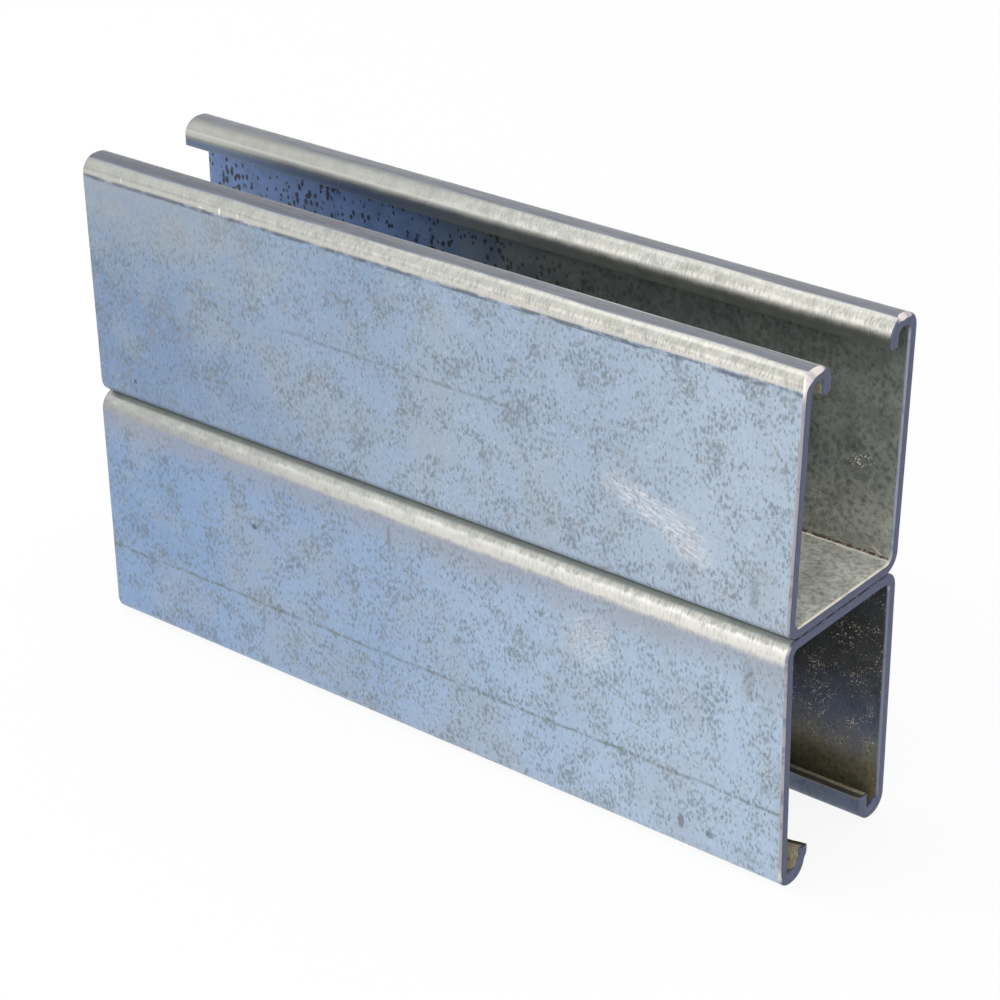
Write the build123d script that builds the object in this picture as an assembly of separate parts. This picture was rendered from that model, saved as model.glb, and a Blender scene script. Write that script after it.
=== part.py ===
from build123d import *
import os

# Back-to-back strut: a short length of two deep lipped channels, spot welded web to web.
# X runs along the stock, Y across it and Z up. The origin is the centre of the footprint,
# on the plane that the lower lips rest on. All sizes are in millimetres.

# Cold-rolled section, the same for both channels
channel_width = 41.3    # outside the two side walls
channel_depth = 61.9    # from the back of the web to the crown of the lips
strip_thickness = 2.66    # 12 gauge strip
slot_width = 22.2    # between the two lips
lip_height = 7.1    # from the crown of a lip to its sheared edge
bend_radius = 1.6    # inside of every cold bend
crown_bend_share = 0.48    # the most of a lip's crown that one of its two bends may take

# Cut length
stock_length = 203.2
blade_rollover = 0.7    # bevel of the near end's edges where the blade came in
end_break = 0.3    # bevel of its other edges, and all round the far end

# Resistance spot welds that join the two webs
first_weld = 38.1    # from the far cut end to the first weld
weld_spacing = 63.5    # from each weld to the next
weld_rim_diameter = 6.5    # mark of the electrode, where it meets the web
weld_floor_diameter = 5.0    # mark of the electrode, at its bottom
weld_mark_depth = 0.25

# Slopes of the near end's bevels: the blade came in from the front and above, through both
# channels at once, and left at the back and below.
blade_entry_slope = Vector(1, 1, -1) * blade_rollover
blade_exit_slope = Vector(1, -1, 1) * end_break

# Placings of the two channels: the backs of their webs share one plane
web_joint = Pos(0, 0, channel_depth)
slot_downwards = Rot(180, 0, 0)


def rolled_section():
    """Lipped channel section on the YZ plane: back of the web on Z = 0, lips at the top."""
    half_strip = strip_thickness / 2
    wall_y = channel_width / 2 - half_strip
    lip_y = slot_width / 2 + half_strip
    crown_z = channel_depth - half_strip
    lip_edge_z = channel_depth - lip_height
    web_bend = bend_radius + half_strip
    widest_crown_bend = (wall_y - lip_y) * crown_bend_share
    crown_bend = min(web_bend, widest_crown_bend)
    middle_line = FilletPolyline(
        (-lip_y, lip_edge_z),
        (-lip_y, crown_z),
        (-wall_y, crown_z),
        (-wall_y, half_strip),
        (wall_y, half_strip),
        (wall_y, crown_z),
        (lip_y, crown_z),
        (lip_y, lip_edge_z),
        radius=[crown_bend, crown_bend, web_bend, web_bend, crown_bend, crown_bend],
    )
    return Plane.YZ * trace(middle_line, line_width=strip_thickness)


def double_section():
    """Both channels' sections as one outline: the webs back each other, so no bevel parts them."""
    section = rolled_section()
    return web_joint * section + web_joint * slot_downwards * section


def blade_envelope(slope):
    """Full length of the double section whose near tip leans along a slope, so one side draws in."""
    section = double_section()
    shaft_start = Pos(-stock_length / 2, 0, 0) * section
    shaft = extrude(shaft_start, amount=stock_length - slope.X)
    tip_start = Pos(stock_length / 2 - slope.X, 0, 0) * section
    return shaft + extrude(tip_start, amount=slope.length, dir=slope)


def cut_to_length(section):
    """Stock with both ends cut: the near one bevelled by the blade, the far one broken all round."""
    stock = extrude(section, amount=stock_length / 2, both=True)
    stock = stock & blade_envelope(blade_entry_slope)
    stock = stock & blade_envelope(blade_exit_slope)
    far_edges = stock.edges().group_by(Axis.X)[0]
    return chamfer(far_edges, end_break)


def weld_positions():
    """Places of the spot welds along X: as many as the length holds, from the far cut end on."""
    run_after_first = stock_length - first_weld - weld_rim_diameter
    weld_count = int(run_after_first / weld_spacing) + 1
    first_x = first_weld - stock_length / 2
    return [first_x + index * weld_spacing for index in range(weld_count)]


def weld_marks():
    """Shallow round electrode marks on the inside of a web whose back is on Z = 0."""
    mark = Cone(weld_floor_diameter / 2, weld_rim_diameter / 2, weld_mark_depth)
    mark_z = strip_thickness - weld_mark_depth / 2
    return [Pos(x, 0, mark_z) * mark for x in weld_positions()]


def lipped_channel(placing):
    """One channel at its place: the placing sets the web's back on the plane of the other web."""
    channel = cut_to_length(placing * rolled_section())
    for mark in weld_marks():
        channel = channel - placing * mark
    return channel


def write_part(node, shape):
    """Write one piece as parts/NODE.step."""
    export_step(shape, os.path.join("parts", node + ".step"))


os.makedirs("parts", exist_ok=True)
write_part("upper_channel", lipped_channel(web_joint))
write_part("lower_channel", lipped_channel(web_joint * slot_downwards))
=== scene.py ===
"""Looks of a short cut of back-to-back strut channel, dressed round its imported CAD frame.

Both channels are rolled here from flat strip, as the real ones are: a blank is meshed flat and
a Geometry Nodes tree bends it up, rolls its end edges over and presses the spot welds in.
Their finishes are procedural and read the strip's own coordinates, which follow every bend.
Lengths are in metres, except on the strip map that the finishes read, which is in millimetres.
"""

import logging
import math
from abc import ABC, abstractmethod
from dataclasses import dataclass, field
from enum import Enum

import bpy
from mathutils import Matrix, Vector


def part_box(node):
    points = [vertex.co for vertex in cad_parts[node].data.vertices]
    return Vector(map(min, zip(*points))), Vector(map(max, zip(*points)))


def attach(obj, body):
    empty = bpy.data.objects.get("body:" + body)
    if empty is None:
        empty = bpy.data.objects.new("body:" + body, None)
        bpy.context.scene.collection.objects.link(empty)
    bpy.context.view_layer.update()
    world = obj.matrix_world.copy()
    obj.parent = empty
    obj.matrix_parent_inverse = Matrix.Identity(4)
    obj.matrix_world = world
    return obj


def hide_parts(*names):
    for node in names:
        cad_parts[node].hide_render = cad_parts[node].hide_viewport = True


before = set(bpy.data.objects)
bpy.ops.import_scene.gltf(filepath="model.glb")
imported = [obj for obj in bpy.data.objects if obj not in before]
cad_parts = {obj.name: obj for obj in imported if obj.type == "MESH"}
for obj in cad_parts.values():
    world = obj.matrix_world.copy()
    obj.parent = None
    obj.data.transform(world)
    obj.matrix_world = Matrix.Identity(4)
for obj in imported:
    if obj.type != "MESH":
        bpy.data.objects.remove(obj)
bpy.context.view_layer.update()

LOG = logging.getLogger("strut")
MM = 0.001
TO_MM = 1000.0
QUARTER = math.pi / 2
OFF_END = -1.0  # the blank's end_turn on rings that aren't part of a rolled end edge
Socket = bpy.types.NodeSocket
Colour = tuple[float, float, float, float]
Feed = Socket | float | int | tuple | None


def painted(red: int, green: int, blue: int) -> Colour:
    """Turns a given colour into the linear one that the shaders take.

    Args:
        red: red from 0 to 255, as a screen shows it.
        green: green, the same.
        blue: blue, the same.

    Returns:
        Linear red, green, blue and an alpha of 1.
    """
    linear = []
    for level in (red, green, blue):
        part = level / 255
        linear.append(part / 12.92 if part <= 0.04045 else ((part + 0.055) / 1.055) ** 2.4)
    return (linear[0], linear[1], linear[2], 1.0)


class Opening(Enum):
    """Which way a channel's slot opens. The value turns its section about X."""

    UPWARDS = 1.0
    DOWNWARDS = -1.0


class MarkKind(Enum):
    """What a mark on the zinc is."""

    SCRATCHES = "bright scratches side by side"
    STAIN = "dark stain with a ragged edge"
    DOT = "small dark dot"
    NICK = "small bright nick"
    # Painted glints: bright dots that stand for light sparkling off the zinc crystals.
    GLINTS = "sparkling crystals inside the channel"
    SALTS = "thin pale line of dried salts inside the channel"


@dataclass
class Wiring:
    """A node tree that is being filled, with short calls for its commonest nodes."""

    tree: bpy.types.NodeTree

    def add(self, kind: str, **settings: object) -> bpy.types.Node:
        """Adds a node.

        Args:
            kind: the node's type name.
            settings: properties to set on it.

        Returns:
            The new node.
        """
        node = self.tree.nodes.new(kind)
        for name, value in settings.items():
            setattr(node, name, value)
        return node

    def feed(self, target: Socket, source: Feed) -> None:
        """Joins a socket to a target, or sets the target to a plain value.

        Args:
            target: the input socket.
            source: a socket, a value, or None to leave the target as it is.
        """
        if isinstance(source, Socket):
            self.tree.links.new(source, target)
        elif source is not None:
            target.default_value = source

    def math(self, operation: str, *feeds: Feed) -> Socket:
        """Adds a Math node.

        Args:
            operation: its operation.
            feeds: its operands.

        Returns:
            Its result.
        """
        node = self.add("ShaderNodeMath", operation=operation)
        for target, source in zip(node.inputs, feeds):
            self.feed(target, source)
        return node.outputs[0]

    def product(self, *feeds: Feed) -> Socket:
        """Multiplies any number of feeds.

        Args:
            feeds: the factors, two at least.

        Returns:
            Their product.
        """
        result = feeds[0]
        for factor in feeds[1:]:
            result = self.math("MULTIPLY", result, factor)
        return result

    def plus(self, first: Feed, second: Feed) -> Socket:
        """Adds two feeds."""
        return self.math("ADD", first, second)

    def minus(self, first: Feed, second: Feed) -> Socket:
        """Takes the second feed off the first."""
        return self.math("SUBTRACT", first, second)

    def larger(self, first: Feed, second: Feed) -> Socket:
        """Picks the larger of two feeds."""
        return self.math("MAXIMUM", first, second)

    def swing(self, noise: Feed, reach: Feed) -> Socket:
        """Turns a noise of about 0.5 into one that swings about nought, by half the reach at most."""
        return self.product(self.minus(noise, 0.5), reach)

    def between(self, value: Feed, rise: tuple[float, float], fall: tuple[float, float]) -> Socket:
        """Marks a value between a soft rise and a soft fall, each given as where it is 0 and where it is 1."""
        return self.product(self.ramp(value, *rise), self.ramp(value, *fall))

    def ramp(
        self, value: Feed, low: Feed, high: Feed, start: Feed = 0.0, end: Feed = 1.0, smooth: bool = True
    ) -> Socket:
        """Maps a range to another, clamped at both ends.

        Args:
            value: what is mapped.
            low: the value that gives start.
            high: the value that gives end.
            start: result at low.
            end: result at high.
            smooth: eases in and out when true.

        Returns:
            The mapped value.
        """
        node = self.add("ShaderNodeMapRange", interpolation_type="SMOOTHSTEP" if smooth else "LINEAR")
        for name, source in zip(("Value", "From Min", "From Max", "To Min", "To Max"), (value, low, high, start, end)):
            self.feed(node.inputs[name], source)
        return node.outputs[0]

    def band(self, value: Feed, start: float, end: float, soft: float) -> Socket:
        """Marks where a value lies between two bounds.

        Args:
            value: what is tested.
            start: lower bound.
            end: upper bound.
            soft: width of the fade at each bound.

        Returns:
            1 inside the band and 0 outside it.
        """
        rise = self.ramp(value, start - soft / 2, start + soft / 2)
        fall = self.ramp(value, end - soft / 2, end + soft / 2, 1.0, 0.0)
        return self.product(rise, fall)

    def vector(self, x: Feed, y: Feed, z: Feed) -> Socket:
        """Joins three feeds into a vector.

        Args:
            x: first part.
            y: second part.
            z: third part.

        Returns:
            The vector.
        """
        node = self.add("ShaderNodeCombineXYZ")
        for target, source in zip(node.inputs, (x, y, z)):
            self.feed(target, source)
        return node.outputs[0]

    def split(self, vector: Feed) -> tuple[Socket, Socket, Socket]:
        """Parts a vector.

        Args:
            vector: the vector.

        Returns:
            Its x, y and z.
        """
        node = self.add("ShaderNodeSeparateXYZ")
        self.feed(node.inputs[0], vector)
        return node.outputs[0], node.outputs[1], node.outputs[2]

    def noise(self, vector: Feed, scale: Feed, detail: float = 2.0, roughness: float = 0.5) -> Socket:
        """Adds a noise texture.

        Args:
            vector: where it is read.
            scale: repeats in each unit of the vector.
            detail: octaves.
            roughness: weight of the finer octaves.

        Returns:
            Its value, about 0.5 on average.
        """
        node = self.add("ShaderNodeTexNoise", noise_dimensions="3D")
        settings = {"Vector": vector, "Scale": scale, "Detail": detail, "Roughness": roughness}
        for name, source in settings.items():
            self.feed(node.inputs[name], source)
        return node.outputs[0]

    def dots(self, vector: Feed, scale: float, size: Feed, soft: float = 0.16) -> Socket:
        """Scatters round dots of mixed size.

        Args:
            vector: where they are read.
            scale: dots in each unit of the vector.
            size: reach of the largest, from about 0.2 for few and small to 0.6 for a crowd.
            soft: width of a dot's edge.

        Returns:
            1 in a dot and 0 outside it.
        """
        node = self.add("ShaderNodeTexVoronoi", voronoi_dimensions="3D", feature="F1")
        for name, source in (("Vector", vector), ("Scale", scale), ("Randomness", 1.0)):
            self.feed(node.inputs[name], source)
        edge = self.minus(node.outputs["Distance"], size)
        return self.ramp(edge, -soft, 0.0, 1.0, 0.0)

    def blend(self, factor: Feed, under: Feed, over: Feed) -> Socket:
        """Mixes two colours.

        Args:
            factor: share of the upper colour.
            under: the lower colour.
            over: the upper colour.

        Returns:
            The mixed colour.
        """
        node = self.add("ShaderNodeMix", data_type="RGBA", clamp_factor=True)
        for index, source in ((0, factor), (6, under), (7, over)):
            self.feed(node.inputs[index], source)
        return node.outputs[2]


@dataclass(frozen=True)
class Section:
    """Sizes of the cold-rolled section that both channels share."""

    width: float
    depth: float
    length: float
    thickness: float = 2.66 * MM
    slot_width: float = 22.2 * MM
    lip_height: float = 7.1 * MM
    inside_radius: float = 1.6 * MM

    @property
    def bend_radius(self) -> float:
        """Radius of a bend at the middle of the strip."""
        return self.inside_radius + self.thickness / 2

    @property
    def bend_run(self) -> float:
        """Length of strip that one square bend takes up."""
        return self.bend_radius * QUARTER

    @property
    def web_flat(self) -> float:
        """Half the flat of the web, and so where its bend starts along the strip."""
        return (self.width - self.thickness) / 2 - self.bend_radius

    @property
    def crown_start(self) -> float:
        """Where the bend from wall to crown starts along the strip."""
        wall_flat = self.depth - self.thickness - 2 * self.bend_radius
        return self.web_flat + self.bend_run + wall_flat

    @property
    def lip_start(self) -> float:
        """Where the bend from crown to lip starts along the strip."""
        crown_flat = (self.width - self.slot_width) / 2 - self.thickness - 2 * self.bend_radius
        return self.crown_start + self.bend_run + crown_flat

    @property
    def half_girth(self) -> float:
        """Half the width of the flat strip."""
        lip_flat = self.lip_height - self.thickness / 2 - self.bend_radius
        return self.lip_start + self.bend_run + lip_flat


@dataclass(frozen=True)
class SpotWelds:
    """The row of spot welds that joins the two webs."""

    first: float = 38.1 * MM
    spacing: float = 63.5 * MM
    rim_diameter: float = 6.5 * MM
    floor_diameter: float = 5.0 * MM
    depth: float = 0.25 * MM

    def places(self, length: float) -> list[float]:
        """Gives one place along X for each weld that stock of this length takes, from the far end on."""
        count = int((length - self.first - self.rim_diameter) / self.spacing) + 1
        return [self.first - length / 2 + index * self.spacing for index in range(count)]


@dataclass
class StripBlank:
    """Flat strip meshed for rolling: rings along it, columns across it, two skins and closed ends."""

    section: Section
    welds: SpotWelds
    edge_round: float = 0.3 * MM
    end_reach: float = 1.9 * MM
    end_steps: int = 5
    bend_steps: int = 10
    bend_support: float = 0.3 * MM
    weld_reach: float = 4.5 * MM
    weld_step: float = 0.5 * MM
    web_step: float = 3 * MM
    wall_step: float = 2.6 * MM
    crown_step: float = 1 * MM
    lip_step: float = 0.8 * MM
    near_reach: float = 9 * MM
    near_step: float = 0.75 * MM

    def spread(self, start: float, end: float, step: float) -> list[float]:
        """Divides a run evenly by a longest step, and gives the places after start, the last one at end."""
        count = max(1, math.ceil((end - start) / step - 1e-6))
        return [start + (end - start) * index / count for index in range(1, count + 1)]

    def columns(self) -> list[tuple[float, float]]:
        """Lays the columns out, dense in the bends, at the welds and at the slit edges.

        Returns:
            Place across the strip and half thickness there, from one slit edge to the other.
        """
        section = self.section
        across = [0.0]
        across += self.spread(0.0, self.weld_reach, self.weld_step)
        across += self.spread(across[-1], section.web_flat - self.bend_support, self.web_step)
        across.append(section.web_flat)
        for start, flat_end, step in (
            (section.web_flat, section.crown_start, self.wall_step),
            (section.crown_start, section.lip_start, self.crown_step),
            (section.lip_start, section.half_girth - self.edge_round, self.lip_step),
        ):
            bend_end = start + section.bend_run
            across += self.spread(start, bend_end, section.bend_run / self.bend_steps)
            across.append(bend_end + self.bend_support)
            across += self.spread(across[-1], flat_end - self.bend_support, step)
            across.append(flat_end)
        half = section.thickness / 2
        side = [(place, half) for place in across]
        for turn in (0.5, 1.0):
            inset = self.edge_round * (1 - math.cos(turn * QUARTER))
            reach = section.half_girth - self.edge_round * (1 - math.sin(turn * QUARTER))
            side.append((reach, half - inset))
        return [(-place, height) for place, height in reversed(side[1:])] + side

    def rings(self) -> list[tuple[float, float]]:
        """Lays the rings out, dense at the ends and at the welds.

        Returns:
            Place along the strip and how far round its end's rolled edge the ring is, from 0 to 1 or OFF_END.
        """
        half = self.section.length / 2
        inner = half - self.end_reach
        along = [-inner]
        for place in self.welds.places(self.section.length):
            along += self.spread(along[-1], place - self.weld_reach, self.wall_step)
            along += self.spread(along[-1], place + self.weld_reach, self.weld_step)
        along += self.spread(along[-1], inner - self.near_reach, self.wall_step)
        along += self.spread(along[-1], inner, self.near_step)
        steps = [index / self.end_steps for index in range(self.end_steps + 1)]
        far = [(-half, step) for step in reversed(steps)]
        near = [(half, step) for step in steps]
        return far + [(place, OFF_END) for place in along] + near

    def mesh(self, name: str) -> bpy.types.Mesh:
        """Builds the closed mesh of the blank.

        Args:
            name: the mesh's name.

        Returns:
            The mesh, with each point's place round the rolled end edge as its attribute end_turn.
        """
        columns = self.columns()
        rings = self.rings()
        loop = [(y, -height) for y, height in columns] + [(y, height) for y, height in reversed(columns)]
        size = len(loop)
        points = [(x, y, z) for x, _turn in rings for y, z in loop]
        turns = [turn for _x, turn in rings for _point in loop]
        faces = []
        for ring in range(len(rings) - 1):
            base = ring * size
            for point in range(size):
                following = (point + 1) % size
                faces.append((base + point, base + following, base + size + following, base + size + point))
        last = (len(rings) - 1) * size
        for column in range(len(columns) - 1):
            low, high = column, size - 1 - column
            faces.append((last + low, last + low + 1, last + high - 1, last + high))
            faces.append((high, high - 1, low + 1, low))
        mesh = bpy.data.meshes.new(name)
        mesh.from_pydata(points, [], faces)
        mesh.attributes.new("end_turn", "FLOAT", "POINT").data.foreach_set("value", turns)
        return mesh


def named_inputs(tree: bpy.types.NodeTree, kinds: dict[str, str], outputs: dict[str, str]) -> None:
    """Gives a node group its sockets.

    Args:
        tree: the group.
        kinds: name and socket type of each input.
        outputs: name and socket type of each output.
    """
    for direction, sockets in (("INPUT", kinds), ("OUTPUT", outputs)):
        for name, kind in sockets.items():
            tree.interface.new_socket(name=name, in_out=direction, socket_type=kind)


class BendTree:
    """Node group that bends everything past a line of the strip up to a right angle."""

    @staticmethod
    def make() -> bpy.types.NodeTree:
        """Builds the group.

        Returns:
            A group that takes a place across and a height, and gives them after the bend and the turn.
        """
        tree = bpy.data.node_groups.new("strip_bend", "GeometryNodeTree")
        numbers = {name: "NodeSocketFloat" for name in ("Across", "Height", "Start", "Radius")}
        named_inputs(tree, numbers, {"Across": "NodeSocketFloat", "Height": "NodeSocketFloat"})
        wiring = Wiring(tree)
        given = wiring.add("NodeGroupInput").outputs
        past = wiring.minus(given["Across"], given["Start"])
        turn = wiring.ramp(wiring.math("DIVIDE", past, given["Radius"]), 0.0, QUARTER, 0.0, QUARTER, smooth=False)
        run = wiring.product(given["Radius"], QUARTER)
        beyond = wiring.larger(wiring.minus(past, run), 0.0)
        arm = wiring.minus(given["Radius"], given["Height"])
        sine, cosine = wiring.math("SINE", turn), wiring.math("COSINE", turn)
        bent_across = wiring.plus(given["Start"], wiring.product(arm, sine))
        bent_across = wiring.plus(bent_across, wiring.product(beyond, cosine))
        bent_height = wiring.minus(given["Radius"], wiring.product(arm, cosine))
        bent_height = wiring.plus(bent_height, wiring.product(beyond, sine))
        is_past = wiring.math("GREATER_THAN", past, 0.0)
        result = wiring.add("NodeGroupOutput")
        for name, bent in (("Across", bent_across), ("Height", bent_height)):
            mixed = wiring.add("ShaderNodeMix", data_type="FLOAT")
            for index, source in ((0, is_past), (2, given[name]), (3, bent)):
                wiring.feed(mixed.inputs[index], source)
            wiring.feed(result.inputs[name], mixed.outputs[0])
        return tree


class RollFormingTree:
    """Node group that turns a flat blank into a cut, welded, lipped channel at its place."""

    NUMBERS = (
        "Half Length", "Strip Thickness", "Bend Radius", "Web Bend", "Crown Bend", "Lip Bend", "Half Girth",
        "Channel Depth", "Joint Height", "Turn", "Blade Rollover", "Crown Rollover", "Edge Break",
        "Rollover Unevenness", "End Flare", "Flare Reach",
        "Near Setback At Web", "Near Setback At Crown", "Near Advance At Back",
        "Far Setback At Web", "Far Setback At Crown", "Far Setback At Back", "Setback Reach",
        "Lip Kink", "Kink Reach", "Sheet Waviness",
        "Weld First", "Weld Spacing", "Weld Rim", "Weld Floor", "Weld Depth", "Seed",
    )
    UNEVEN_SCALE = 420.0  # lumps in each metre of a rolled end edge
    CROWN_FADE = 3 * MM  # where the crown's own rollover sets in
    BEND_FADE = 2 * MM  # where the lip's and the web's rollover do
    BACKED_SHARE = 0.35  # share of the rollover where the other web backs the edge
    FACING_BLADE = (0.1, 0.8)  # how far a face looks to the front and up, for none and for all of the rollover
    WELD_RING = 0.6 * MM  # width of the metal pushed up round a weld's mark
    WELD_RING_HEIGHT = 0.05 * MM
    HEAT_REACH = 1.9  # radius of the heat's tint, in rims
    KINK_HEIGHT = 3.2 * MM  # height of the lip that the shear caught
    KINK_FADE = 1.0 * MM
    WAVE_SCALE = 26.0  # waves in each metre of wall
    CALM_REACH = 14 * MM  # how far below the crown the waves die away
    CUT_START = 0.02  # where the cut end's material starts round the rolled edge

    def __init__(self, bend: bpy.types.NodeTree) -> None:
        """Builds the tree.

        Args:
            bend: the group that makes one bend.
        """
        self.tree = bpy.data.node_groups.new("roll_forming", "GeometryNodeTree")
        kinds = {"Blank": "NodeSocketGeometry"}
        kinds |= {name: "NodeSocketFloat" for name in self.NUMBERS}
        kinds |= {"Skin": "NodeSocketMaterial", "Cut End": "NodeSocketMaterial"}
        named_inputs(self.tree, kinds, {"Channel": "NodeSocketGeometry"})
        self.wiring = Wiring(self.tree)
        self.given = self.wiring.add("NodeGroupInput").outputs
        self.bend = bend
        self.build()

    def folded(self, across: Socket) -> tuple[Socket, Socket]:
        """Works out which way the strip faces after all bends.

        Args:
            across: distance from the strip's middle.

        Returns:
            Sine and cosine of how far the strip has turned there.
        """
        wiring, given = self.wiring, self.given
        total = None
        for start in ("Web Bend", "Crown Bend", "Lip Bend"):
            past = wiring.math("DIVIDE", wiring.minus(across, given[start]), given["Bend Radius"])
            turn = wiring.ramp(past, 0.0, QUARTER, 0.0, QUARTER, smooth=False)
            total = turn if total is None else wiring.plus(total, turn)
        return wiring.math("SINE", total), wiring.math("COSINE", total)

    def rolled_over(self, x: Socket, across: Socket, entry: Socket, backed: Socket) -> tuple[Socket, Socket, Socket]:
        """Rounds the two cut ends' edges over, most where the blade came in.

        Args:
            x: place along the strip.
            across: distance from the strip's middle.
            entry: 1 on faces that the blade met first.
            backed: 1 where the other channel's web covers the face.

        Returns:
            New place along the strip, how far the skin draws in, and how far round the edge the point is.
        """
        wiring, given = self.wiring, self.given
        turn = wiring.add("GeometryNodeInputNamedAttribute", data_type="FLOAT")
        turn.inputs["Name"].default_value = "end_turn"
        turn = turn.outputs["Attribute"]
        on_end = wiring.math("GREATER_THAN", turn, OFF_END / 2)
        near = wiring.math("GREATER_THAN", x, 0.0)
        place = wiring.add("GeometryNodeInputPosition").outputs[0]
        uneven = wiring.noise(place, self.UNEVEN_SCALE, 2.0)
        uneven = wiring.minus(wiring.product(uneven, 2.0), 1.0)
        uneven = wiring.plus(1.0, wiring.product(uneven, given["Rollover Unevenness"]))
        lip_end = wiring.plus(given["Lip Bend"], self.BEND_FADE)
        on_crown = wiring.ramp(across, given["Crown Bend"], wiring.plus(given["Crown Bend"], self.CROWN_FADE))
        on_crown = wiring.product(on_crown, wiring.ramp(across, given["Lip Bend"], lip_end, 1.0, 0.0))
        blade = wiring.ramp(on_crown, 0.0, 1.0, given["Blade Rollover"], given["Crown Rollover"], smooth=False)
        extra = wiring.minus(blade, given["Edge Break"])
        radius = wiring.plus(given["Edge Break"], wiring.product(extra, entry, near))
        radius = wiring.product(radius, uneven, wiring.ramp(backed, 0.0, 1.0, 1.0, self.BACKED_SHARE))
        angle = wiring.product(wiring.larger(turn, 0.0), QUARTER)
        inset = wiring.product(radius, on_end, wiring.minus(1.0, wiring.math("COSINE", angle)))
        back = wiring.product(radius, on_end, wiring.minus(1.0, wiring.math("SINE", angle)))
        new_x = wiring.minus(x, wiring.product(wiring.math("SIGN", x), back))
        return new_x, inset, wiring.product(on_end, wiring.larger(turn, 0.0))

    def weld_dent(self, x: Socket, y: Socket, inside: Socket) -> tuple[Socket, Socket]:
        """Presses the electrode marks into the web's inner face.

        Args:
            x: place along the strip.
            y: place across the strip.
            inside: 1 on the inner skin.

        Returns:
            Depth of the mark there, and 1 in the ring of heat round a weld.
        """
        wiring, given = self.wiring, self.given
        half_spacing = wiring.product(given["Weld Spacing"], 0.5)
        offset = wiring.plus(wiring.minus(x, given["Weld First"]), half_spacing)
        offset = wiring.math("FLOORED_MODULO", offset, given["Weld Spacing"])
        offset = wiring.minus(offset, half_spacing)
        squares = wiring.plus(wiring.product(offset, offset), wiring.product(y, y))
        distance = wiring.math("SQRT", squares)
        rim = wiring.product(given["Weld Rim"], 0.5)
        floor = wiring.product(given["Weld Floor"], 0.5)
        dent = wiring.product(wiring.ramp(distance, rim, floor), given["Weld Depth"])
        ring = wiring.ramp(wiring.math("ABSOLUTE", wiring.minus(distance, rim)), 0.0, self.WELD_RING, 1.0, 0.0)
        dent = wiring.minus(dent, wiring.product(ring, self.WELD_RING_HEIGHT))
        heat = wiring.ramp(distance, rim, wiring.product(rim, self.HEAT_REACH), 1.0, 0.0)
        return wiring.product(dent, inside), wiring.product(heat, inside)

    def kinked(self, x: Socket, across: Socket, side: Socket) -> Socket:
        """Pushes one corner of the lip outwards, where the shear caught it.

        Args:
            x: place along the strip.
            across: distance from the strip's middle.
            side: 1 or -1, the half of the strip.

        Returns:
            How far the strip moves out there.
        """
        wiring, given = self.wiring, self.given
        start = wiring.minus(given["Half Length"], given["Kink Reach"])
        near = wiring.ramp(x, start, given["Half Length"])
        kink_start = wiring.minus(given["Half Girth"], self.KINK_HEIGHT)
        caught = wiring.ramp(across, kink_start, wiring.plus(kink_start, self.KINK_FADE))
        is_front = wiring.math("LESS_THAN", wiring.product(side, given["Turn"]), 0.0)
        return wiring.product(near, caught, is_front, given["Lip Kink"])

    def out_of_square(self, x: Socket, y: Socket, height: Socket) -> Socket:
        """Slants the two cuts a little, as the shear left them.

        Args:
            x: place along the strip.
            y: final place across the channel.
            height: height over the web.

        Returns:
            How far the point moves along X.
        """
        wiring, given = self.wiring, self.given
        reach_start = wiring.minus(given["Half Length"], given["Setback Reach"])
        at_near = wiring.ramp(x, reach_start, given["Half Length"], smooth=False)
        at_far = wiring.ramp(wiring.product(x, -1.0), reach_start, given["Half Length"], smooth=False)
        crown = given["Channel Depth"]
        half_width = wiring.plus(given["Web Bend"], given["Bend Radius"])
        back = wiring.ramp(y, wiring.product(half_width, -1.0), half_width, smooth=False)
        advance = wiring.product(back, given["Near Advance At Back"])
        near_web = wiring.minus(given["Near Setback At Web"], advance)
        near = wiring.ramp(height, 0.0, crown, near_web, given["Near Setback At Crown"], False)
        far = wiring.ramp(height, 0.0, crown, given["Far Setback At Web"], given["Far Setback At Crown"], False)
        far = wiring.plus(far, wiring.product(back, given["Far Setback At Back"]))
        return wiring.minus(wiring.product(at_far, far), wiring.product(at_near, near))

    def build(self) -> None:
        """Joins the steps: end edges, welds, kink and waves in the flat, then the three bends."""
        wiring, given = self.wiring, self.given
        x, y, z = wiring.split(wiring.add("GeometryNodeInputPosition").outputs[0])
        side = wiring.math("SIGN", y)
        across = wiring.math("ABSOLUTE", y)
        skin = wiring.math("SIGN", z)
        inside = wiring.math("GREATER_THAN", z, 0.0)
        sine, cosine = self.folded(across)
        face_y = wiring.product(skin, side, sine, given["Turn"])
        face_z = wiring.product(skin, cosine, given["Turn"])
        entry = wiring.ramp(wiring.plus(face_y, face_z), *self.FACING_BLADE)
        on_web = wiring.ramp(across, wiring.plus(given["Web Bend"], self.BEND_FADE), given["Web Bend"])
        backed = wiring.product(on_web, wiring.minus(1.0, inside))
        new_x, inset, cut = self.rolled_over(x, across, entry, backed)
        dent, heat = self.weld_dent(x, y, inside)
        seeded = wiring.vector(wiring.plus(x, given["Seed"]), y, 0.0)
        wave = wiring.minus(wiring.noise(seeded, self.WAVE_SCALE, 1.0), 0.5)
        calm_start = wiring.minus(given["Crown Bend"], self.CALM_REACH)
        rise = wiring.ramp(across, given["Web Bend"], calm_start)
        on_wall = wiring.product(rise, wiring.ramp(across, calm_start, given["Crown Bend"], 1.0, 0.0))
        wave = wiring.product(wave, given["Sheet Waviness"], on_wall)
        height = wiring.minus(z, wiring.product(skin, inset))
        height = wiring.minus(height, dent)
        height = wiring.minus(height, self.kinked(x, across, side))
        height = wiring.plus(height, wave)
        bent_across = across
        for start in ("Lip Bend", "Crown Bend", "Web Bend"):
            step = wiring.add("GeometryNodeGroup", node_tree=self.bend)
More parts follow.
